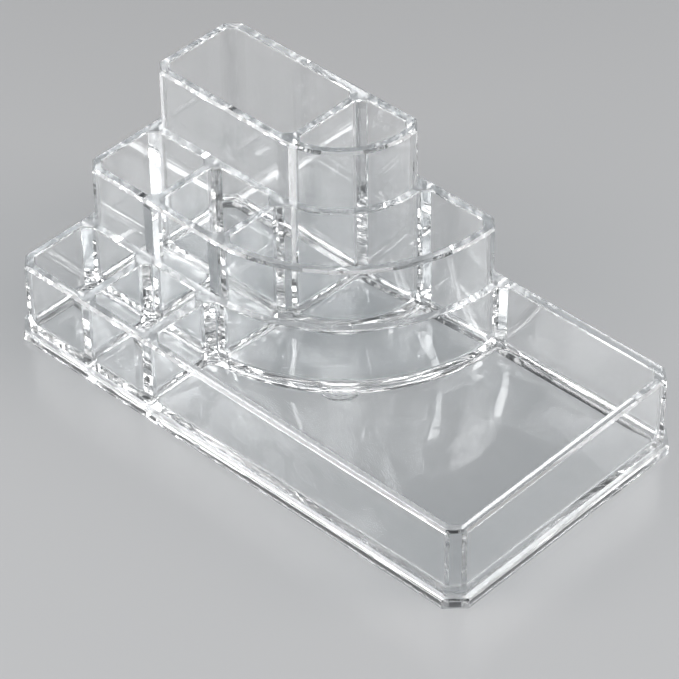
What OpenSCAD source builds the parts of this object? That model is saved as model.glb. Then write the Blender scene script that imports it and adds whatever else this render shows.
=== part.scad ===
/* [Overall] */
// Length of the foot, left to right
length = 175; // [170:0.5:200]
// Depth of the foot, front to back
depth = 94.4; // [90:0.2:104]
// Height of the top tier's rim
height = 65.6; // [60:0.2:80]

/* [Foot] */
// How far the foot stands out past the walls
foot_out = 1.65; // [1:0.05:2.5]
// Height of the foot
foot_h = 3.2; // [2.4:0.1:3.6]
// Top of the floor that all the compartments share
floor_top = 4.3; // [4:0.1:6]
// Thickness of the floor
floor_t = 2.4; // [2:0.1:3]

/* [Tiers] */
// Height of the low tray's rim
low_h = 26.8; // [24:0.2:30]
// Height of the middle tier's rim
mid_h = 45.9; // [40:0.2:52]
// Length of the middle tier, from the left wall's outer face to its right end
mid_length = 107.9; // [104:0.1:112]
// Outer radius of the middle tier's curved corner
mid_r = 56.6; // [54:0.1:58]
// Straight stretch of the middle tier's right end, behind the curve
mid_end = 6.2; // [5:0.1:8]
// Length of the top tier, from the left wall's outer face to its right end
top_length = 78.1; // [76:0.1:82]
// Outer radius of the top tier's curved corner
top_r = 26.5; // [24:0.1:27.5]
// Straight stretch of the top tier's right end, behind the curve
top_end = 7.9; // [6:0.1:9]

/* [Walls] */
// Thickness of the front and side walls
wall_t = 3; // [2.4:0.1:3.4]
// Thickness of the back wall
back_t = 3.7; // [3:0.1:4]
// Width of the ledge at the foot of each upper tier
ledge_w = 2.6; // [2:0.1:3]

/* [Pockets and dividers] */
// Width of the low tray's left pocket
tray_left_w = 22.6; // [21:0.1:24]
// Width of the low tray's second pocket
tray_right_w = 21.8; // [20.5:0.1:23]
// Thickness of the divider between these two pockets
tray_left_t = 2.9; // [2.4:0.1:3.2]
// Thickness of the divider between the second pocket and the large tray
tray_right_t = 3.7; // [2.4:0.1:4]
// Width of the middle tier's left pocket
mid_left_w = 23.3; // [21:0.1:24]
// Width of the middle tier's second pocket
mid_right_w = 23.6; // [21:0.1:25]
// Width of the top tier's left pocket
top_left_w = 50; // [47:0.1:51]
// Thickness of the dividers in the middle and top tiers
div_t = 2.7; // [2.4:0.1:3]

/* [Corners and edges] */
// Leg of the outer walls' upright corner flats
corner_leg = 4.2; // [3.8:0.1:4.6]
// Leg of the upright corner flats inside the compartments
pocket_leg = 2.3; // [1.6:0.1:2.6]
// Reach of the cove along the foot of the compartments' walls
cove_leg = 1.5; // [1.5:0.1:1.7]
// Its smaller reach along the compartments' upright corner flats
cove_flat_leg = 1.4; // [1.2:0.1:1.4]
// Radius of that cove's hollow
cove_r = 1.9; // [1.8:0.1:3]
// Leg of the bevel along the outer edge of every rim
rim_bevel = 0.8; // [0.4:0.1:1]
// Leg of the bevel along the top of the foot
foot_bevel = 0.5; // [0.2:0.1:0.8]

/* [Gate mark] */
// Gate mark's place, right of the middle
gate_x = 2.6; // [-5:0.1:5]
// Gate mark's place, behind the middle
gate_y = -2.2; // [-5:0.1:5]
// Outer diameter of the gate ring
gate_d = 11.5; // [9:0.1:13]
// Inner diameter of the gate ring
gate_bore = 8.1; // [6:0.1:8.4]
// How far the gate ring stands below the floor
gate_h = 0.7; // [0.4:0.1:1.2]

/* [Hidden] */
$fn = 96;
// Facets of a whole turn round a cove's hollow
cove_fn = 32;
clear = [0.86, 0.93, 0.96, 0.35];
// Overlap given to cutters, so that no cut ends on a face
over = wall_t;
// Share of an offset by which a 45 degree corner flat's leg changes
leg_share = 2 - sqrt(2);
// Outer faces of the walls, and the inner faces of the low tray
left = -length / 2 + foot_out;
right = -left;
front = -depth / 2 + foot_out;
back = -front;
in_left = left + wall_t;
in_right = right - wall_t;
in_front = front + wall_t;
in_back = back - back_t;
// Centres of the upper tiers' curves, and the front faces of these tiers
mid_c = [left + mid_length - mid_r, back - mid_end];
top_c = [left + top_length - top_r, back - top_end];
mid_y = mid_c.y - mid_r;
top_y = top_c.y - top_r;
// Left faces of the dividers
tray_left_x = in_left + tray_left_w;
tray_right_x = tray_left_x + tray_left_t + tray_right_w;
mid_left_x = in_left + mid_left_w;
mid_right_x = mid_left_x + div_t + mid_right_w;
top_x = in_left + top_left_w;
// Where each divider stands: its left and right faces, its front and back ends
tray_left = [tray_left_x, tray_left_x + tray_left_t, in_front, mid_y - ledge_w];
tray_right = [tray_right_x, tray_right_x + tray_right_t, in_front, mid_y - ledge_w];
mid_left = [mid_left_x, mid_left_x + div_t, mid_y + wall_t, top_y - ledge_w];
mid_right = [mid_right_x, mid_right_x + div_t, mid_y + wall_t, top_y - ledge_w];
top_only = [top_x, top_x + div_t, top_y + wall_t, in_back];

// Corners of a rectangle with a 45 degree flat at each, from the front left
// anticlockwise
function flats(x0, y0, x1, y1, leg) = [
    [x0 + leg, y0], [x1 - leg, y0], [x1, y0 + leg], [x1, y1 - leg],
    [x1 - leg, y1], [x0 + leg, y1], [x0, y1 - leg], [x0, y0 + leg]
];

// Corners of the low tray's outline, grown outward by grow
function tray_corners(grow = 0) =
    flats(left - grow, front - grow, right + grow, back + grow, corner_leg + grow * leg_share);

// Quarter of a circle about c, at its front right
module quarter(c, r) intersection() {
    translate(c) circle(r);
    translate([c.x, c.y - r - over]) square(r + over);
}

// An upper tier's outline: flush with the tray on the left and at the back, and
// a quarter round of radius r about c at the front right
module tier_plan(c, r) {
    leg = corner_leg;
    x1 = c.x + r;
    y0 = c.y - r;
    polygon([[left + leg, y0], [c.x, y0], c, [x1, c.y], [x1, back - leg], [x1 - leg, back],
        [left + leg, back], [left, back - leg], [left, y0 + leg]]);
    quarter(c, r);
}

// The space inside an upper tier's wall, with flats in its square corners
module tier_inside(c, r) {
    leg = pocket_leg;
    x1 = c.x + r - wall_t;
    y0 = c.y - r + wall_t;
    difference() {
        union() {
            polygon([[in_left + leg, y0], [c.x, y0], c, [x1, c.y], [x1, in_back],
                [in_left + leg, in_back], [in_left, in_back - leg], [in_left, y0 + leg]]);
            quarter(c, r - wall_t);
        }
        polygon([[x1 - leg - over, in_back + over], [x1 + over, in_back - leg - over],
            [x1 + over, in_back + over]]);
    }
}

// An upper tier's outline as a cutter, which runs out past the left and the back
module tier_cut(c, r) {
    leg = corner_leg;
    x1 = c.x + r;
    y0 = c.y - r;
    polygon([[left + leg, y0], [c.x, y0], c, [x1, c.y], [x1, back - leg],
        [x1 - leg - over, back + over], [left - over, back + over], [left - over, y0 + leg + over]]);
    quarter(c, r);
}

// What an upper tier and the ledge at its foot cover in plan
module ledge_plan(c, r) {
    x1 = c.x + r + ledge_w;
    y0 = c.y - r - ledge_w;
    polygon([[left, y0], [c.x, y0], c, [x1, c.y], [x1, back], [left, back]]);
    quarter(c, r + ledge_w);
}

// Flats where the wall under a ledge meets the left wall and the back wall
module ledge_flats(c, r) {
    leg = pocket_leg;
    x1 = c.x + r + ledge_w;
    y0 = c.y - r - ledge_w;
    polygon([[in_left, y0 - leg], [in_left + leg, y0], [in_left, y0]]);
    polygon([[c.x + r, in_back - leg], [x1, in_back - leg], [x1 + leg, in_back], [c.x + r, in_back]]);
}

// The wall under the ledge in front of an upper tier, in plan: it ends at the
// inner faces of the walls round it
module inner_wall_plan(c, r) difference() {
    union() {
        ledge_plan(c, r);
        ledge_flats(c, r);
    }
    tier_cut(c, r);
    translate([left - over, in_back]) square([length, back_t + over]);
    translate([left - over, c.y - r - ledge_w - pocket_leg - over]) square([wall_t + over, length]);
}

// A divider in plan, before it is trimmed to its tier's space: each side of both
// its ends opens into a 45 degree flat
module divider_plan(d) {
    leg = pocket_leg;
    end = leg + over;
    polygon([[d[0] - end, d[2] - over], [d[1] + end, d[2] - over], [d[1], d[2] + leg], [d[1], d[3] - leg],
        [d[1] + end, d[3] + over], [d[0] - end, d[3] + over], [d[0], d[3] - leg], [d[0], d[2] + leg]]);
}

// Space in plan inside each tier, before its dividers
module tray_space() difference() {
    polygon(flats(in_left, in_front, in_right, in_back, pocket_leg));
    ledge_plan(mid_c, mid_r);
    ledge_flats(mid_c, mid_r);
}
module middle_space() difference() {
    tier_inside(mid_c, mid_r);
    ledge_plan(top_c, top_r);
    ledge_flats(top_c, top_r);
}
module top_space() tier_inside(top_c, top_r);

// Raises a plan from the floor to height z
module raise(z) {
    translate([0, 0, floor_top]) linear_extrude(z - floor_top) children();
}

// Lays a profile along the straight line from a to b and past both its ends:
// the profile's x runs to the left of the line, and its y upward
module along(a, b, past = over) {
    run = b - a;
    translate([a.x, a.y, 0]) rotate([0, 0, atan2(run.y, run.x)]) rotate([90, 0, 90])
        translate([0, 0, -past]) linear_extrude(norm(run) + 2 * past) children();
}

// Lays a profile round the quarter of radius r about c: the profile's x runs
// outward, and its y upward
module turned(c, r) {
    translate([c.x, c.y, 0]) rotate([0, 0, -90]) rotate_extrude(angle = 90)
        translate([r, 0]) children();
}

// Profile that cuts a 45 degree bevel off an edge at height z
module bevel_profile(z, s) {
    polygon([[s + over, z + over], [-over, z - s - over], [-over, z + over]]);
}

// Bevels the top edge of an outline given by its corners
module bevel_edges(points, z, s) {
    for (i = [0 : len(points) - 1]) {
        next = points[(i + 1) % len(points)];
        along(points[i], next) bevel_profile(z, s);
    }
}

// Bevels an upper tier's outer rim edge: the straight runs and the quarter round
module bevel_tier(c, r, z) {
    s = rim_bevel;
    leg = corner_leg;
    x1 = c.x + r;
    y0 = c.y - r;
    along([left, y0 + leg], [left + leg, y0]) bevel_profile(z, s);
    along([left + leg, y0], [c.x, y0], 0) bevel_profile(z, s);
    turned(c, r) mirror([1, 0]) bevel_profile(z, s);
    along([x1, c.y], [x1, back - leg], 0) bevel_profile(z, s);
    along([x1, back - leg], [x1 - leg, back]) bevel_profile(z, s);
    along([x1 - leg, back], [left + leg, back]) bevel_profile(z, s);
    along([left + leg, back], [left, back - leg]) bevel_profile(z, s);
    along([left, back - leg], [left, y0 + leg]) bevel_profile(z, s);
}

// Profile of the cove between the floor and a wall at x zero, rooted in both: its
// hollow meets them at a slight angle, at the distance reach from their corner
module cove_profile(reach = cove_leg) {
    root = floor_t / 2;
    away = (reach + sqrt(2 * pow(cove_r, 2) - pow(reach, 2))) / 2;
    translate([0, floor_top]) difference() {
        translate([-root, -root]) square(root + away);
        translate([away, away]) circle(cove_r, $fn = cove_fn);
    }
}

// Trims a cove, the second child, to the compartment whose plan is the first
module trimmed() intersection() {
    linear_extrude(low_h) children(0);
    children(1);
}

// Coves along walls and corner flats that follow one another, given by the points
// where they meet: the compartment, whose plan is the child, lies to the left
module coves(points) {
    for (i = [1 : len(points) - 1]) {
        a = points[i - 1];
        b = points[i];
        reach = a.x == b.x || a.y == b.y ? cove_leg : cove_flat_leg;
        trimmed() {
            children();
            along(a, b) cove_profile(reach);
        }
    }
}

// Coves round a pocket with straight walls: the child is its tier's space in plan
module pocket_coves(x0, y0, x1, y1) {
    corners = flats(x0, y0, x1, y1, pocket_leg);
    coves(concat(corners, [corners[0]])) intersection() {
        polygon(flats(x0, y0 - over, x1, y1 + over, pocket_leg + over));
        children();
    }
}

// Plan of the compartment to the right of a tier's last divider: the child is
// the tier's space in plan
module last_plan(d) difference() {
    children();
    divider_plan(d);
    translate([left, front]) square([d[0] - left, depth]);
}

// Corners along the right side of a divider, from its back end to its front end
function right_side(d) = [[d[1] + pocket_leg, d[3]], [d[1], d[3] - pocket_leg],
    [d[1], d[2] + pocket_leg], [d[1] + pocket_leg, d[2]]];

// Coves along the curve of a ledge, its straight end and the flat behind that:
// the child is the compartment in plan
module ledge_coves(c, r) {
    x1 = c.x + r + ledge_w;
    trimmed() {
        children();
        turned(c, r + ledge_w) cove_profile();
    }
    trimmed() {
        children();
        along([x1, back], [x1, c.y], 0) cove_profile();
    }
    coves([[x1 + pocket_leg, in_back], [x1, in_back - pocket_leg]]) children();
}

// Coves along the curve of an upper tier's wall, the straight walls behind it
// and the divider beside it: the child is the compartment in plan
module curve_coves(c, r, d) {
    leg = pocket_leg;
    x1 = c.x + r - wall_t;
    trimmed() {
        children();
        turned(c, r - wall_t) mirror([1, 0]) cove_profile();
    }
    coves([[x1, c.y], [x1, back]]) children();
    coves([[x1, in_back - leg], [x1 - leg, in_back], [d[1], in_back]]) children();
    coves(right_side(d)) children();
}

// Coves of the large tray, from the divider beside it round to the ledge
module large_tray_coves() {
    leg = pocket_leg;
    coves(concat(right_side(tray_right), [[in_right - leg, in_front], [in_right, in_front + leg],
        [in_right, in_back - leg], [in_right - leg, in_back], [mid_c.x + mid_r, in_back]])) children();
    ledge_coves(mid_c, mid_r) children();
}

// Coves of the compartments in each tier
module tray_coves() {
    pocket_coves(in_left, in_front, tray_left[0], tray_left[3]) tray_space();
    pocket_coves(tray_left[1], in_front, tray_right[0], tray_right[3]) tray_space();
    large_tray_coves() last_plan(tray_right) tray_space();
}
module middle_coves() {
    pocket_coves(in_left, mid_left[2], mid_left[0], mid_left[3]) middle_space();
    pocket_coves(mid_left[1], mid_right[2], mid_right[0], mid_right[3]) middle_space();
    curve_coves(mid_c, mid_r, mid_right) last_plan(mid_right) middle_space();
    ledge_coves(top_c, top_r) last_plan(mid_right) middle_space();
}
module top_coves() {
    pocket_coves(in_left, top_only[2], top_only[0], in_back) top_space();
    curve_coves(top_c, top_r, top_only) last_plan(top_only) top_space();
}

// Floor with its coves, foot and gate mark
module base() color(clear) {
    recess = floor_top - floor_t;
    difference() {
        union() {
            difference() {
                linear_extrude(foot_h) polygon(tray_corners(foot_out));
                bevel_edges(tray_corners(foot_out), foot_h, foot_bevel);
            }
            linear_extrude(floor_top) polygon(tray_corners());
        }
        translate([0, 0, -over]) linear_extrude(recess + over)
            polygon(flats(in_left, in_front, in_right, in_back, corner_leg - wall_t * leg_share));
    }
    translate([gate_x, gate_y, recess - gate_h]) difference() {
        cylinder(d = gate_d, h = gate_h + floor_t / 2);
        translate([0, 0, -over]) cylinder(d = gate_bore, h = gate_h + over);
    }
    tray_coves();
    middle_coves();
    top_coves();
}

// Outer wall of the low tray
module tray_wall() color(clear) difference() {
    raise(low_h) difference() {
        polygon(tray_corners());
        polygon(flats(in_left, in_front, in_right, in_back, pocket_leg));
        tier_cut(mid_c, mid_r);
    }
    bevel_edges(tray_corners(), low_h, rim_bevel);
}

// Wall that carries the ledge in front of the middle tier
module tray_inner_wall() color(clear) raise(low_h) inner_wall_plan(mid_c, mid_r);

// Dividers of the low tray, from its front wall back to the ledge
module tray_divider(d) color(clear) raise(low_h) intersection() {
    divider_plan(d);
    tray_space();
}
module tray_divider_left() tray_divider(tray_left);
module tray_divider_right() tray_divider(tray_right);

// Outer wall of the middle tier
module middle_wall() color(clear) difference() {
    raise(mid_h) difference() {
        tier_plan(mid_c, mid_r);
        tier_inside(mid_c, mid_r);
        tier_cut(top_c, top_r);
    }
    bevel_tier(mid_c, mid_r, mid_h);
}

// Wall that carries the ledge in front of the top tier
module middle_inner_wall() color(clear) raise(mid_h) inner_wall_plan(top_c, top_r);

// Dividers of the middle tier, from its front wall back to the ledge
module middle_divider(d) color(clear) raise(mid_h) intersection() {
    divider_plan(d);
    middle_space();
}
module middle_divider_left() middle_divider(mid_left);
module middle_divider_right() middle_divider(mid_right);

// Wall of the top tier, which goes all the way round
module top_wall() color(clear) difference() {
    raise(height) difference() {
        tier_plan(top_c, top_r);
        tier_inside(top_c, top_r);
    }
    bevel_tier(top_c, top_r, height);
}

// Divider of the top tier, from its front wall to the back wall
module top_divider() color(clear) raise(height) intersection() {
    divider_plan(top_only);
    top_space();
}

base();
tray_wall();
tray_inner_wall();
tray_divider_left();
tray_divider_right();
middle_wall();
middle_inner_wall();
middle_divider_left();
middle_divider_right();
top_wall();
top_divider();
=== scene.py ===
import math

import bpy
import numpy as np
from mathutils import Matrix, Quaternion, Vector
from mathutils.geometry import delaunay_2d_cdt

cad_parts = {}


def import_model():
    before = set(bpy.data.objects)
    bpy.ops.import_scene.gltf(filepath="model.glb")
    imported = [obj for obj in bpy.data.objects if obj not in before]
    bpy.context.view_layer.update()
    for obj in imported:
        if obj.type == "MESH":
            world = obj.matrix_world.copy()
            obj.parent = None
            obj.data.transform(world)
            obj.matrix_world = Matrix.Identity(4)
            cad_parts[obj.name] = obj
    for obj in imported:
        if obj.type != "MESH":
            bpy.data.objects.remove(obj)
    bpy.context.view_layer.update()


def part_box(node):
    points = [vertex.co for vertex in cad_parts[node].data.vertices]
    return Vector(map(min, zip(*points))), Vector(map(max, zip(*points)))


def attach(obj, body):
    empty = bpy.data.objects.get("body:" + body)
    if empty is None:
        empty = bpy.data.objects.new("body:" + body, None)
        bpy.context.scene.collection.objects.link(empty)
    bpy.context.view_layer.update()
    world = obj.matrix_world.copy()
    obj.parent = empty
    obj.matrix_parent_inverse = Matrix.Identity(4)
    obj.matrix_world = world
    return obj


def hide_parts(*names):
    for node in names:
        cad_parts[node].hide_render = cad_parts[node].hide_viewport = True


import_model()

# Lengths here are millimetres, and MM turns them into Blender's metres
MM = 0.001


def node_box(name):
    """Lowest and highest corner of a CAD node, in millimetres."""
    low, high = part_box(name)
    return low / MM, high / MM


# Sizes read from the frame
base_lo, base_hi = node_box("base")
tray_lo, tray_hi = node_box("tray_wall")
ledge_lo, ledge_hi = node_box("tray_inner_wall")
mid_lo, mid_hi = node_box("middle_wall")
top_lo, top_hi = node_box("top_wall")
post_lo, post_hi = node_box("tray_divider_left")
LEFT, FRONT, FLOOR = tray_lo
RIGHT, BACK, LOW_TOP = tray_hi
MID_TOP = mid_hi.z
TOP_TOP = top_hi.z
IN_LEFT = ledge_lo.x
IN_BACK = ledge_hi.y
IN_FRONT = post_lo.y
WALL = IN_LEFT - LEFT
LEDGE = mid_lo.y - post_hi.y
FLAT = post_hi.y - ledge_lo.y

# Sizes that the boxes don't give
CORNER = 4.2
MID_RADIUS = 56.6
TOP_RADIUS = 26.5
FOOT_HEIGHT = 3.2
FLOOR_THICK = 2.4
FOOT_BEVEL = 0.5
GATE_PLACE = (2.6, -2.2)
GATE_OUTER = 5.75
GATE_INNER = 4.05
GATE_DROP = 0.7
RIM_OUTER = 0.8
RIM_INNER = 0.3
COVE_REACH = 1.5
COVE_RADIUS = 1.9
DIVIDER_THICK = {"tray_divider_left": 2.9, "tray_divider_right": 3.7, "middle_divider_left": 2.7,
                 "middle_divider_right": 2.7, "top_divider": 2.7}
# Steps of a cove's hollow, and of a quarter round or the whole gate ring
COVE_STEPS = 6
ARC_STEPS = 72
# Slack of the plan's triangulation, and the digits that heights are rounded to
TINY = 1e-4
HEIGHT_DIGITS = 5


# Plan outlines: lists of (x, y), anticlockwise
def arc(centre, radius):
    """Quarter round from straight in front of its centre to its right."""
    turns = [math.pi / 2 * i / ARC_STEPS for i in range(ARC_STEPS + 1)]
    return [(centre[0] + radius * math.sin(a), centre[1] - radius * math.cos(a)) for a in turns]


def circle(centre, radius):
    turns = [math.tau * i / ARC_STEPS for i in range(ARC_STEPS)]
    return [(centre[0] + radius * math.cos(a), centre[1] + radius * math.sin(a)) for a in turns]


def flats(x0, y0, x1, y1, leg):
    """Rectangle with a 45 degree flat at each corner."""
    return [(x0 + leg, y0), (x1 - leg, y0), (x1, y0 + leg), (x1, y1 - leg),
            (x1 - leg, y1), (x0 + leg, y1), (x0, y1 - leg), (x0, y0 + leg)]


def tier_outline(centre, radius):
    """An upper tier's outer outline: flush at the left and the back."""
    x1 = centre[0] + radius
    y0 = centre[1] - radius
    return [(LEFT + CORNER, y0), *arc(centre, radius), (x1, BACK - CORNER), (x1 - CORNER, BACK),
            (LEFT + CORNER, BACK), (LEFT, BACK - CORNER), (LEFT, y0 + CORNER)]


def tier_inside(centre, radius):
    """The space inside an upper tier's wall."""
    x1 = centre[0] + radius - WALL
    y0 = centre[1] - radius + WALL
    curve = [p for p in arc(centre, radius - WALL) if p[1] < IN_BACK - FLAT - TINY]
    return [(IN_LEFT + FLAT, y0), *curve, (x1, IN_BACK - FLAT), (x1 - FLAT, IN_BACK),
            (IN_LEFT + FLAT, IN_BACK), (IN_LEFT, IN_BACK - FLAT), (IN_LEFT, y0 + FLAT)]


def ledge_outline(centre, radius):
    """What an upper tier and the ledge at its foot cover."""
    x1 = centre[0] + radius + LEDGE
    y0 = centre[1] - radius - LEDGE
    return [(LEFT, y0), *arc(centre, radius + LEDGE), (x1, BACK), (LEFT, BACK)]


def divider_outline(node, y0, y1):
    """A divider with 45 degree flats, run on past both its ends."""
    x0 = node_box(node)[0].x + FLAT
    x1 = x0 + DIVIDER_THICK[node]
    end = FLAT + WALL
    return [(x0 - end, y0 - WALL), (x1 + end, y0 - WALL), (x1, y0 + FLAT), (x1, y1 - FLAT),
            (x1 + end, y1 + WALL), (x0 - end, y1 + WALL), (x0, y1 - FLAT), (x0, y0 + FLAT)]


def ledge_fills(centre, radius):
    """The flats where the wall under a ledge meets the walls round it."""
    x0 = centre[0] + radius
    x1 = x0 + LEDGE
    y0 = centre[1] - radius - LEDGE
    return [[(IN_LEFT, y0 - FLAT), (IN_LEFT + FLAT, y0), (IN_LEFT, y0)],
            [(x0, IN_BACK - FLAT), (x1, IN_BACK - FLAT), (x1 + FLAT, IN_BACK), (x0, IN_BACK)]]


MID_CENTRE = (mid_hi.x - MID_RADIUS, mid_lo.y + MID_RADIUS)
TOP_CENTRE = (top_hi.x - TOP_RADIUS, top_lo.y + TOP_RADIUS)
MID_BACK = mid_lo.y - LEDGE
TOP_BACK = top_lo.y - LEDGE
# Share of an offset by which a 45 degree flat's leg changes
LEG_SHARE = 2 - math.sqrt(2)
FOOT = flats(base_lo.x, base_lo.y, base_hi.x, base_hi.y, CORNER + (LEFT - base_lo.x) * LEG_SHARE)
RECESS = flats(IN_LEFT, IN_FRONT, RIGHT - WALL, IN_BACK, CORNER - WALL * LEG_SHARE)
GATE_RING = (circle(GATE_PLACE, GATE_OUTER), circle(GATE_PLACE, GATE_INNER))

# Each tier from the low tray up: what it is bounded by, and the nodes that stand in it
TIERS = [
    {"top": LOW_TOP, "wall": "tray_wall", "inner_wall": "tray_inner_wall",
     "outline": flats(LEFT, FRONT, RIGHT, BACK, CORNER),
     "inside": flats(IN_LEFT, IN_FRONT, RIGHT - WALL, IN_BACK, FLAT),
     "ledge": ledge_outline(MID_CENTRE, MID_RADIUS),
     "fills": ledge_fills(MID_CENTRE, MID_RADIUS),
     "dividers": {n: divider_outline(n, IN_FRONT, MID_BACK)
                  for n in ("tray_divider_left", "tray_divider_right")}},
    {"top": MID_TOP, "wall": "middle_wall", "inner_wall": "middle_inner_wall",
     "outline": tier_outline(MID_CENTRE, MID_RADIUS),
     "inside": tier_inside(MID_CENTRE, MID_RADIUS),
     "ledge": ledge_outline(TOP_CENTRE, TOP_RADIUS),
     "fills": ledge_fills(TOP_CENTRE, TOP_RADIUS),
     "dividers": {n: divider_outline(n, mid_lo.y + WALL, TOP_BACK)
                  for n in ("middle_divider_left", "middle_divider_right")}},
    {"top": TOP_TOP, "wall": "top_wall", "inner_wall": None,
     "outline": tier_outline(TOP_CENTRE, TOP_RADIUS),
     "inside": tier_inside(TOP_CENTRE, TOP_RADIUS),
     "ledge": None, "fills": [],
     "dividers": {"top_divider": divider_outline("top_divider", top_lo.y + WALL, IN_BACK)}},
]


# Plane geometry
def covers(outline, points):
    """Which of the points lie inside an outline."""
    poly = np.array(outline, float)
    x, y = points[:, 0], points[:, 1]
    hit = np.zeros(len(points), bool)
    for (x0, y0), (x1, y1) in zip(poly, np.roll(poly, -1, axis=0)):
        if y0 == y1:
            continue
        crosses = (y0 > y) != (y1 > y)
        hit ^= crosses & (x < x0 + (y - y0) * (x1 - x0) / (y1 - y0))
    return hit


def distance(outline, points):
    """Distance of each point from an outline."""
    poly = np.array(outline, float)
    best = np.full(len(points), np.inf)
    for a, b in zip(poly, np.roll(poly, -1, axis=0)):
        run = b - a
        along = np.clip((points - a) @ run / (run @ run), 0, 1)
        best = np.minimum(best, np.linalg.norm(points - a - along[:, None] * run, axis=1))
    return best


def inset(outline, by):
    """The outline moved inward by a distance, with its corners mitred."""
    pts = np.array(outline, float)
    before = pts - np.roll(pts, 1, axis=0)
    after = np.roll(pts, -1, axis=0) - pts
    before /= np.linalg.norm(before, axis=1)[:, None]
    after /= np.linalg.norm(after, axis=1)[:, None]
    n0 = np.column_stack([-before[:, 1], before[:, 0]])
    n1 = np.column_stack([-after[:, 1], after[:, 0]])
    mitre = (n0 + n1) / (1 + (n0 * n1).sum(1))[:, None]
    return [tuple(p) for p in pts + mitre * by]


def triangulate(outlines):
    """Points and triangles of the plane cut along every outline."""
    points, edges = [], []
    for outline in outlines:
        first = len(points)
        points += [Vector(p) for p in outline]
        count = len(outline)
        edges += [(first + i, first + (i + 1) % count) for i in range(count)]
    places, _, faces, *_ = delaunay_2d_cdt(points, edges, [], 0, TINY)
    return np.array([tuple(p) for p in places], float), np.array(faces, int)


def loop_of(triangles):
    """The boundary of a patch of triangles, as point numbers in order."""
    sides = {(int(t[i]), int(t[(i + 1) % 3])) for t in triangles for i in range(3)}
    ahead = {a: b for a, b in sides if (b, a) not in sides}
    start = min(ahead)
    loop = [start]
    while ahead[loop[-1]] != start:
        loop.append(ahead[loop[-1]])
    return loop


def straighten(loop):
    """The loop without the points that lie on a straight run."""
    pts = np.array(loop)
    into = pts - np.roll(pts, 1, axis=0)
    out = np.roll(pts, -1, axis=0) - pts
    turn = np.abs(into[:, 0] * out[:, 1] - into[:, 1] * out[:, 0])
    size = np.linalg.norm(into, axis=1) * np.linalg.norm(out, axis=1)
    return [tuple(p) for p, t, s in zip(pts, turn, size) if t > TINY * s]


# What stands where: each spot of the plan is a wall node, a pocket or open
def standing(spots):
    """For each spot, the node that stands there, 'pocket TIER NUMBER' or ''."""
    found = np.full(len(spots), "", dtype=object)
    for level, tier in enumerate(TIERS):
        outer = covers(tier["outline"], spots)
        found[outer] = tier["wall"]
        inside = outer & covers(tier["inside"], spots)
        columns = sorted(np.mean(outline, axis=0)[0] for outline in tier["dividers"].values())
        number = np.searchsorted(columns, spots[:, 0])
        for i in np.flatnonzero(inside):
            found[i] = f"pocket {level} {number[i]}"
        if tier["ledge"]:
            for outline in (tier["ledge"], *tier["fills"]):
                found[inside & covers(outline, spots)] = tier["inner_wall"]
        for node, outline in tier["dividers"].items():
            open_here = np.array([str(f).startswith("pocket") for f in found])
            found[inside & open_here & covers(outline, spots)] = node
    return found


def plan_outlines():
    """Every outline at which the plan changes, before the edges' bevels and coves."""
    outlines = [FOOT, RECESS, *GATE_RING]
    for tier in TIERS:
        outlines += [tier["outline"], tier["inside"], *tier["dividers"].values(), *tier["fills"]]
        if tier["ledge"]:
            outlines.append(tier["ledge"])
    return outlines


points, triangles = triangulate(plan_outlines())
spots = points[triangles].mean(axis=1)
stands = standing(spots)
POCKETS = {}
for name in sorted(set(stands)):
    if name.startswith("pocket"):
        loop = [tuple(points[i]) for i in loop_of(triangles[stands == name])]
        POCKETS[name] = straighten(loop)

# The cove's section, an arc from the wall to the floor: distance from the wall,
# and height over the floor
cove_away = (COVE_REACH + math.sqrt(2 * COVE_RADIUS ** 2 - COVE_REACH ** 2)) / 2
cove_start = math.asin((cove_away - COVE_REACH) / COVE_RADIUS)
cove_sweep = math.pi / 2 - 2 * cove_start
cove_turns = [cove_start + cove_sweep * i / COVE_STEPS for i in range(COVE_STEPS + 1)]
COVE_SECTION = [(cove_away - COVE_RADIUS * math.cos(a), cove_away - COVE_RADIUS * math.sin(a))
                for a in cove_turns]

outlines = plan_outlines() + [inset(FOOT, FOOT_BEVEL)]
outlines += [inset(tier["outline"], RIM_OUTER) for tier in TIERS]
for loop in POCKETS.values():
    outlines += [loop, inset(loop, -RIM_INNER)]
    outlines += [inset(loop, away) for away, _ in COVE_SECTION[1:]]
points, triangles = triangulate(outlines)
spots = points[triangles].mean(axis=1)
stands = standing(spots)
in_foot = covers(FOOT, spots)
in_recess = covers(RECESS, spots)
in_gate = covers(GATE_RING[0], spots) & ~covers(GATE_RING[1], spots)


# Heights over the plan's points
def rim_heights(tier, level):
    """Height of a tier's rim at each point, with its bevelled edges."""
    drop = RIM_OUTER - distance(tier["outline"], points)
    for name, loop in POCKETS.items():
        if name.startswith(f"pocket {level}"):
            drop = np.maximum(drop, RIM_INNER - distance(loop, points))
    return tier["top"] - np.where(drop > TINY, drop, 0)


def floor_heights(loop):
    """Height of a pocket's floor at each point, with its cove."""
    away, rise = np.array(COVE_SECTION).T
    return FLOOR + np.interp(distance(loop, points), away, rise)


def snap(height):
    """A height rounded, so that heights meant to be equal are."""
    return round(float(height), HEIGHT_DIGITS)


joint_floor = np.full(len(points), FLOOR)
foot_drop = FOOT_BEVEL - distance(FOOT, points)
foot_heights = FOOT_HEIGHT - np.where(foot_drop > TINY, foot_drop, 0)
pocket_floors = {name: floor_heights(loop) for name, loop in POCKETS.items()}
RIMS = {}
for level, tier in enumerate(TIERS):
    for node in (tier["wall"], tier["inner_wall"], *tier["dividers"]):
        if node:
            RIMS[node] = rim_heights(tier, level)

# Finishes of a face, as its material's number
CLEAR_FACE = 0
JOINT_FACE = 1


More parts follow.
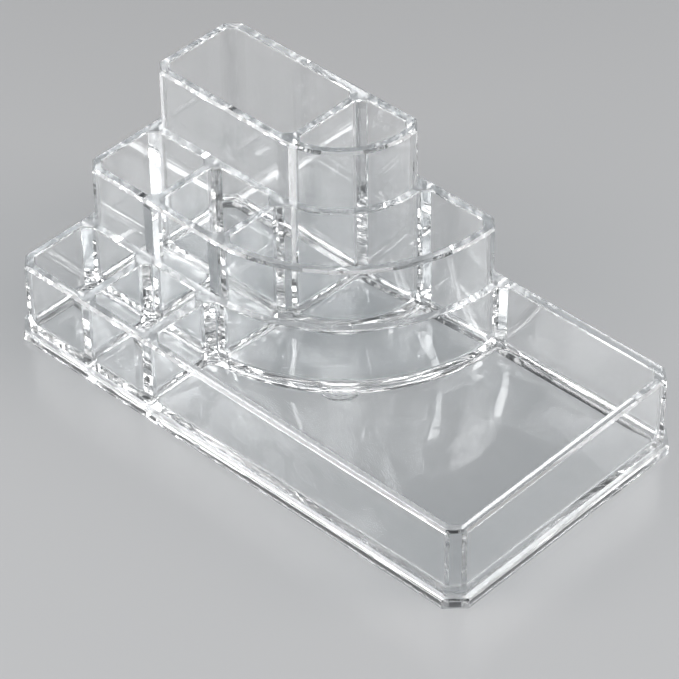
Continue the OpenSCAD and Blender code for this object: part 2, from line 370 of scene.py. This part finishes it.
def base_cells():
    """The base's triangles with their upper and lower heights and finishes."""
    under = FLOOR - FLOOR_THICK
    cells = {}
    for i in np.flatnonzero(in_foot):
        where = stands[i]
        low = under - GATE_DROP if in_gate[i] else under if in_recess[i] else 0.0
        if where == "":
            high, finish = foot_heights, CLEAR_FACE
        elif where in POCKETS:
            high, finish = pocket_floors[where], CLEAR_FACE
        else:
            high, finish = joint_floor, JOINT_FACE
        cells[i] = ([snap(high[v]) for v in triangles[i]], [snap(low)] * 3, finish, CLEAR_FACE)
    return cells


def wall_cells(node):
    """A wall node's triangles with their upper and lower heights and finishes."""
    rim = RIMS[node]
    return {i: ([snap(rim[v]) for v in triangles[i]], [snap(FLOOR)] * 3, CLEAR_FACE, JOINT_FACE)
            for i in np.flatnonzero(stands == node)}


side_owner = {}
for i, corners in enumerate(triangles):
    for k in range(3):
        side_owner[int(corners[k]), int(corners[(k + 1) % 3])] = i


def meeting_height(node, a, b, at):
    """Up to where a neighbour backs the node's side from a to b, at its end at."""
    other = side_owner.get((b, a))
    if other is None or node == "base":
        return None
    where = stands[other]
    if where in POCKETS:
        return snap(pocket_floors[where][at])
    if where in RIMS:
        return snap(min(RIMS[where][at], RIMS[node][at]))
    return None


def side_strips(node, cells):
    """Upright faces of a node: (a, b, lower at a and b, upper at a and b, finish)."""
    strips = []
    for i, (high, low, _, _) in cells.items():
        corners = [int(v) for v in triangles[i]]
        for k in range(3):
            a, b = corners[k], corners[(k + 1) % 3]
            ha, hb, la, lb = high[k], high[(k + 1) % 3], low[k], low[(k + 1) % 3]
            other = side_owner.get((b, a))
            if other in cells:
                there = [int(v) for v in triangles[other]]
                oa, ob = cells[other][0][there.index(a)], cells[other][0][there.index(b)]
                ua, ub = cells[other][1][there.index(a)], cells[other][1][there.index(b)]
                if ha > oa or hb > ob:
                    backed = cells[other][2] == JOINT_FACE
                    strips.append((a, b, oa, ob, ha, hb, JOINT_FACE if backed else CLEAR_FACE))
                if la < ua or lb < ub:
                    strips.append((a, b, la, lb, ua, ub, CLEAR_FACE))
                continue
            ja, jb = (meeting_height(node, a, b, v) for v in (a, b))
            if ja is None:
                strips.append((a, b, la, lb, ha, hb, CLEAR_FACE))
                continue
            if ja > la or jb > lb:
                strips.append((a, b, la, lb, ja, jb, JOINT_FACE))
            if ha > ja or hb > jb:
                strips.append((a, b, ja, jb, ha, hb, CLEAR_FACE))
    return strips


def solid_mesh(node, cells):
    """A closed mesh of a node's cells, with its faces' finishes."""
    numbers, places, faces, finishes = {}, [], [], []
    levels = {}

    def number(v, z):
        key = (int(v), z)
        if key not in numbers:
            numbers[key] = len(places)
            places.append((points[v][0] * MM, points[v][1] * MM, z * MM))
            levels.setdefault(int(v), set()).add(z)
        return numbers[key]

    for i, (high, low, upper_finish, lower_finish) in cells.items():
        corners = triangles[i]
        faces.append([number(v, z) for v, z in zip(corners, high)])
        finishes.append(upper_finish)
        faces.append([number(v, z) for v, z in zip(corners, low)][::-1])
        finishes.append(lower_finish)
    strips = side_strips(node, cells)
    for a, b, la, lb, ha, hb, _ in strips:
        for v, z in ((a, la), (a, ha), (b, lb), (b, hb)):
            number(v, z)
    for a, b, la, lb, ha, hb, finish in strips:
        rise = [number(b, z) for z in sorted(levels[b]) if lb <= z <= hb]
        fall = [number(a, z) for z in sorted(levels[a], reverse=True) if la <= z <= ha]
        ring = rise + fall
        if len(ring) > 2:
            faces.append(ring)
            finishes.append(finish)
    return places, faces, finishes


# Finish of the plastic. Of a pair of spans, values in the first are stretched to the second.
PLASTIC_TINT = (0.976, 0.981, 0.983, 1)
PLASTIC_IOR = 1.53
# What is left of light that crosses a face on its way to the floor
LIGHT_LEFT = (0.905, 0.915, 0.92, 1)
FLOW_LINES = {"stretch": (1, 1, 0.06), "scale": 120, "detail": 5}
WEAR = {"stretch": (1, 1, 1), "scale": 55, "detail": 4}
WEAR_ROUGHNESS = ((0.35, 0.7), (0.0, 0.02))
# Relief of the flow lines: its fading as a face tilts from upright, strength and depth in mm
RELIEF_FADE = ((0.0, 0.6), (1.0, 0.0))
RELIEF_STRENGTH = 0.09
RELIEF_DEPTH = 0.05
HAZE_COLOUR = (0.9, 0.91, 0.92, 1)
HAZE_SHARE = ((0.5, 0.72), (0.002, 0.03))
# Edges sharper than this stay sharp in the shading
SHARP = math.radians(28)

# Floor and sky: the floor's reach and FAR_FLOOR are metres, and its drop is millimetres.
# The far floor glows in the horizon's colour.
FLOOR_COLOUR = (0.6, 0.605, 0.613)
FLOOR_ROUGHNESS = 0.25
FLOOR_REACH = 3.0
FLOOR_DROP = 0.05
FAR_FLOOR = ((0.3, 1.2), (0.0, 1.0))
HORIZON = (0.46, 0.465, 0.474, 1)
ZENITH = (0.04, 0.042, 0.045, 1)
# Heights in the sky, 0 at the horizon and 1 overhead, where the two colours lie
SKY_SPAN = (0.05, 0.5)


# Materials
def principled(material):
    material.use_nodes = True
    return material.node_tree.nodes["Principled BSDF"]


def streaks(nodes, links, place, stretch, scale, detail):
    """The value socket of noise that is drawn out along each axis with a low stretch."""
    lay = nodes.new("ShaderNodeMapping")
    lay.inputs["Scale"].default_value = stretch
    noise = nodes.new("ShaderNodeTexNoise")
    noise.inputs["Scale"].default_value = scale
    noise.inputs["Detail"].default_value = detail
    links.new(place.outputs["Object"], lay.inputs["Vector"])
    links.new(lay.outputs["Vector"], noise.inputs["Vector"])
    return noise.outputs["Fac"]


def spread(nodes, links, value, span, reach):
    """A value socket stretched from one span to another."""
    fit = nodes.new("ShaderNodeMapRange")
    fit.inputs["From Min"].default_value, fit.inputs["From Max"].default_value = span
    fit.inputs["To Min"].default_value, fit.inputs["To Max"].default_value = reach
    links.new(value, fit.inputs["Value"])
    return fit.outputs["Result"]


def combine(nodes, links, operation, *values):
    """A maths node's value socket, from sockets or numbers."""
    maths = nodes.new("ShaderNodeMath")
    maths.operation = operation
    for socket, value in zip(maths.inputs, values):
        if isinstance(value, bpy.types.NodeSocket):
            links.new(value, socket)
        else:
            socket.default_value = value
    return maths.outputs["Value"]


def any_ray(nodes, links, *kinds):
    """A value socket that is 1 for rays of the named kinds, and else 0."""
    path = nodes.new("ShaderNodeLightPath")
    found = path.outputs[f"Is {kinds[0]} Ray"]
    for kind in kinds[1:]:
        found = combine(nodes, links, "MAXIMUM", found, path.outputs[f"Is {kind} Ray"])
    return found


def mixed(nodes, links, share, first, second):
    """The shader socket of two shaders, with the second's share."""
    mix = nodes.new("ShaderNodeMixShader")
    links.new(share, mix.inputs["Fac"])
    links.new(first, mix.inputs[1])
    links.new(second, mix.inputs[2])
    return mix.outputs["Shader"]


def clear_plastic():
    """Polished colourless plastic: flow lines and haze in the walls, fine wear, crisp rims."""
    material = bpy.data.materials.new("clear_plastic")
    shader = principled(material)
    shader.inputs["Base Color"].default_value = PLASTIC_TINT
    shader.inputs["Transmission Weight"].default_value = 1
    shader.inputs["IOR"].default_value = PLASTIC_IOR
    nodes, links = material.node_tree.nodes, material.node_tree.links
    place = nodes.new("ShaderNodeTexCoord")
    flow = streaks(nodes, links, place, **FLOW_LINES)
    wear = streaks(nodes, links, place, **WEAR)
    links.new(spread(nodes, links, wear, *WEAR_ROUGHNESS), shader.inputs["Roughness"])
    bump = nodes.new("ShaderNodeBump")
    bump.inputs["Strength"].default_value = RELIEF_STRENGTH
    bump.inputs["Distance"].default_value = RELIEF_DEPTH * MM
    facing = nodes.new("ShaderNodeSeparateXYZ")
    links.new(place.outputs["Normal"], facing.inputs["Vector"])
    tilt = combine(nodes, links, "ABSOLUTE", facing.outputs["Z"])
    upright = spread(nodes, links, tilt, *RELIEF_FADE)
    links.new(combine(nodes, links, "MULTIPLY", flow, upright), bump.inputs["Height"])
    links.new(bump.outputs["Normal"], shader.inputs["Normal"])
    veil = nodes.new("ShaderNodeBsdfDiffuse")
    veil.inputs["Color"].default_value = HAZE_COLOUR
    haze = spread(nodes, links, flow, *HAZE_SHARE)
    hazed = mixed(nodes, links, haze, shader.outputs["BSDF"], veil.outputs["BSDF"])
    through = nodes.new("ShaderNodeBsdfTransparent")
    through.inputs["Color"].default_value = LIGHT_LEFT
    lights = any_ray(nodes, links, "Shadow", "Diffuse")
    surface = mixed(nodes, links, lights, hazed, through.outputs["BSDF"])
    links.new(surface, nodes["Material Output"].inputs["Surface"])
    return material


def joint_clear():
    """Where two pieces of one moulding meet, which nothing shows."""
    material = bpy.data.materials.new("joint_clear")
    shader = principled(material)
    shader.inputs["Base Color"].default_value = (1, 1, 1, 1)
    shader.inputs["Alpha"].default_value = 0
    return material


def floor_paper():
    """Pale paper that stays as pale far away, where the lamps don't reach."""
    material = bpy.data.materials.new("floor_paper")
    shader = principled(material)
    shader.inputs["Base Color"].default_value = (*FLOOR_COLOUR, 1)
    shader.inputs["Roughness"].default_value = FLOOR_ROUGHNESS
    nodes, links = material.node_tree.nodes, material.node_tree.links
    place = nodes.new("ShaderNodeTexCoord")
    reach = nodes.new("ShaderNodeVectorMath")
    reach.operation = "LENGTH"
    links.new(place.outputs["Object"], reach.inputs[0])
    far = spread(nodes, links, reach.outputs["Value"], *FAR_FLOOR)
    seen = any_ray(nodes, links, "Camera", "Glossy", "Transmission")
    glow = nodes.new("ShaderNodeEmission")
    glow.inputs["Color"].default_value = HORIZON
    share = combine(nodes, links, "MULTIPLY", far, seen)
    surface = mixed(nodes, links, share, shader.outputs["BSDF"], glow.outputs["Emission"])
    links.new(surface, nodes["Material Output"].inputs["Surface"])
    return material


CLEAR = clear_plastic()
JOINT = joint_clear()


def make_piece(node, cells):
    """One visible piece of the moulding, in place of its CAD node."""
    places, faces, finishes = solid_mesh(node, cells)
    mesh = bpy.data.meshes.new(f"{node}_clear")
    mesh.from_pydata(places, [], faces)
    mesh.materials.append(CLEAR)
    mesh.materials.append(JOINT)
    mesh.polygons.foreach_set("material_index", finishes)
    mesh.shade_smooth()
    mesh.set_sharp_from_angle(angle=SHARP)
    mesh.update()
    piece = bpy.data.objects.new(f"{node}_clear", mesh)
    bpy.context.scene.collection.objects.link(piece)
    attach(piece, "root")
    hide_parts(node)
    return piece


make_piece("base", base_cells())
for node in RIMS:
    make_piece(node, wall_cells(node))


# Stage, light and camera
def sphere_point(azimuth, elevation, reach, centre):
    """A place seen from the centre: azimuth 0 is straight in front, 90 to the right."""
    turn, rise = math.radians(azimuth), math.radians(elevation)
    out = Vector((math.sin(turn) * math.cos(rise), -math.cos(turn) * math.cos(rise), math.sin(rise)))
    return Vector(centre) + out * reach


def aim(thing, centre, roll=0):
    thing.rotation_mode = "QUATERNION"
    look = (Vector(centre) - thing.location).to_track_quat("-Z", "Y")
    thing.rotation_quaternion = look @ Quaternion((0, 0, 1), math.radians(roll))


def floor():
    mesh = bpy.data.meshes.new("floor")
    corners = [(x * FLOOR_REACH, y * FLOOR_REACH, -FLOOR_DROP * MM)
               for x, y in ((-1, -1), (1, -1), (1, 1), (-1, 1))]
    mesh.from_pydata(corners, [], [(0, 1, 2, 3)])
    mesh.materials.append(floor_paper())
    thing = bpy.data.objects.new("floor", mesh)
    bpy.context.scene.collection.objects.link(thing)


def softbox(name, azimuth, elevation, reach, size, watts):
    light = bpy.data.lights.new(name, "AREA")
    light.shape = "RECTANGLE"
    light.size, light.size_y = size
    light.energy = watts
    thing = bpy.data.objects.new(name, light)
    thing.location = sphere_point(azimuth, elevation, reach, LAMP_AIM)
    bpy.context.scene.collection.objects.link(thing)
    aim(thing, LAMP_AIM)


def world():
    sky = bpy.data.worlds.new("studio")
    bpy.context.scene.world = sky
    sky.use_nodes = True
    nodes, links = sky.node_tree.nodes, sky.node_tree.links
    place = nodes.new("ShaderNodeTexCoord")
    parts = nodes.new("ShaderNodeSeparateXYZ")
    links.new(place.outputs["Generated"], parts.inputs["Vector"])
    ramp = nodes.new("ShaderNodeValToRGB")
    for stop, height, colour in zip(ramp.color_ramp.elements, SKY_SPAN, (HORIZON, ZENITH)):
        stop.position = height
        stop.color = colour
    links.new(parts.outputs["Z"], ramp.inputs["Fac"])
    links.new(ramp.outputs["Color"], nodes["Background"].inputs["Color"])
    nodes["Background"].inputs["Strength"].default_value = 1


# Angles in degrees, lengths in metres and the lens in millimetres
CAMERA_AZIMUTH = 43.90
CAMERA_ELEVATION = 40.33
CAMERA_ROLL = -0.76
CAMERA_REACH = 0.98389
CAMERA_AIM = (0.00188, -0.00178, 0.020)
CAMERA_LENS = 183.9
CAMERA_SENSOR = 36
LAMP_AIM = (0, 0, 0.03)
# Each softbox: its name, azimuth, elevation, distance, width and height, and watts
SOFTBOXES = [("key_left", -39, 33, 1.0, (0.5, 0.5), 6),
             ("key_right", 130, 32, 1.0, (0.5, 0.5), 6),
             ("over", 45, 52, 1.15, (0.8, 0.3), 3.6)]
# Light turns back and forth in the walls many times before it leaves them
BOUNCES = 96


def camera():
    lens = bpy.data.cameras.new("camera")
    lens.lens = CAMERA_LENS
    lens.sensor_width = CAMERA_SENSOR
    thing = bpy.data.objects.new("camera", lens)
    thing.location = sphere_point(CAMERA_AZIMUTH, CAMERA_ELEVATION, CAMERA_REACH, CAMERA_AIM)
    bpy.context.scene.collection.objects.link(thing)
    aim(thing, CAMERA_AIM, CAMERA_ROLL)
    bpy.context.scene.camera = thing


floor()
world()
for box in SOFTBOXES:
    softbox(*box)
camera()
bpy.context.scene.view_settings.view_transform = "Standard"
cycles = bpy.context.scene.cycles
cycles.max_bounces = BOUNCES
cycles.transmission_bounces = BOUNCES
cycles.glossy_bounces = BOUNCES
cycles.transparent_max_bounces = BOUNCES
